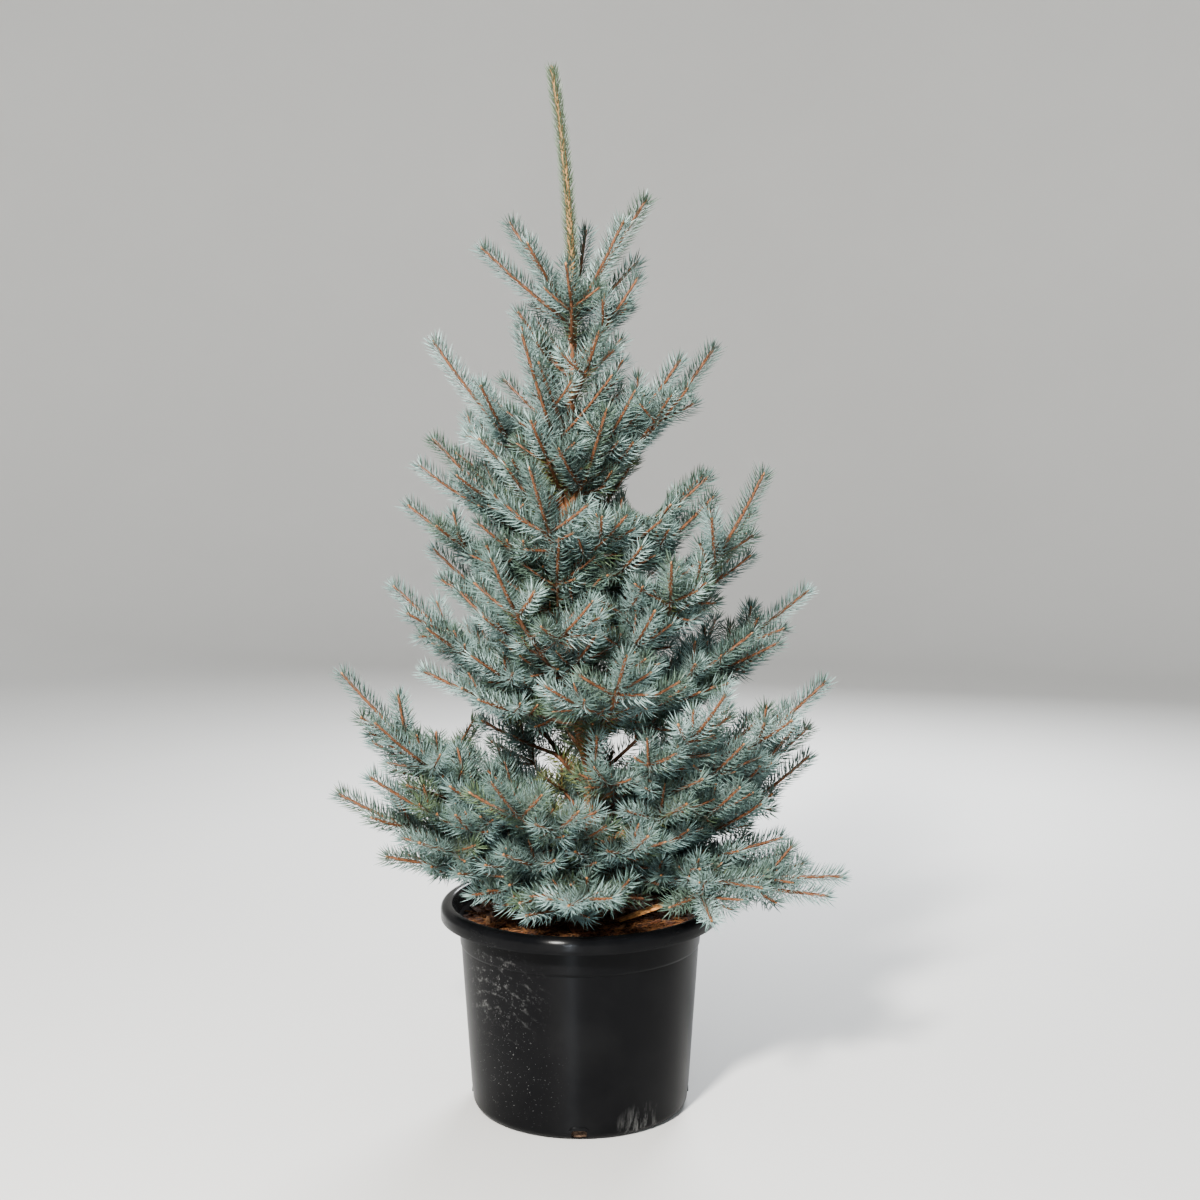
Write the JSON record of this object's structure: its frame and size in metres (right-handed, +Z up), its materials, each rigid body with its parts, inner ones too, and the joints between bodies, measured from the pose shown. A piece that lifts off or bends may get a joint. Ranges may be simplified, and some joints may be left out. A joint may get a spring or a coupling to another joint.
{
  "type": "potted blue spruce",
  "caption": "Young conifer in a round nursery pot: a tapering trunk with whorls of rising boughs, short silvery blue needles and a bare upright leader, standing on the pot's flat underside.",
  "frame": {"origin": "centre of the pot's flat underside, on the ground", "axes": "+Z up the trunk, -Y toward the viewer of the picture, +X to the right in that view"},
  "size_m": [0.8905, 0.6776, 1.8008],
  "materials": {
    "pot": "satin black with rubbed and scratched patches",
    "soil": "dark reddish bark compost",
    "bark": "rough orange-brown bark",
    "needles": "waxy blue-grey needles on orange-brown twigs"
  },
  "bodies": {
    "root": {"pot": "pot", "soil": "soil", "trunk": "bark", "leader": "needles", "bough_e1": "bark", "bough_e3": "bark", "bough_e4": "bark", "bough_f1": "bark", "bough_f4": "bark", "bough_f5": "bark", "bough_f6": "bark", "bough_f7": "bark", "bough_g1": "bark", "bough_g3": "bark", "bough_g4": "bark", "bough_g5": "bark", "mass_c1": "needles", "mass_c2": "needles", "mass_c3": "needles", "mass_c4": "needles", "mass_c5": "needles", "mass_c6": "needles", "mass_d1": "needles", "mass_d2": "needles", "mass_d3": "needles", "mass_d4": "needles", "mass_d5": "needles", "mass_e1": "needles", "mass_e2": "needles", "mass_e3": "needles", "mass_e4": "needles", "mass_e5": "needles", "mass_e6": "needles", "mass_e7": "needles", "mass_f1": "needles", "mass_f2": "needles", "mass_f3": "needles", "mass_f4": "needles", "mass_f5": "needles", "mass_f6": "needles", "mass_f7": "needles", "mass_g1": "needles", "mass_g2": "needles", "mass_g3": "needles", "mass_g4": "needles", "mass_g5": "needles", "mass_g6": "needles", "mass_g7": "needles", "shoot_a1": "needles", "shoot_a2": "needles", "shoot_a3": "needles", "shoot_a4": "needles", "shoot_a5": "needles", "shoot_a6": "needles", "shoot_a7": "needles", "shoot_b1": "needles", "shoot_b2": "needles", "shoot_b3": "needles", "shoot_b4": "needles"}
  },
  "joints": []
}
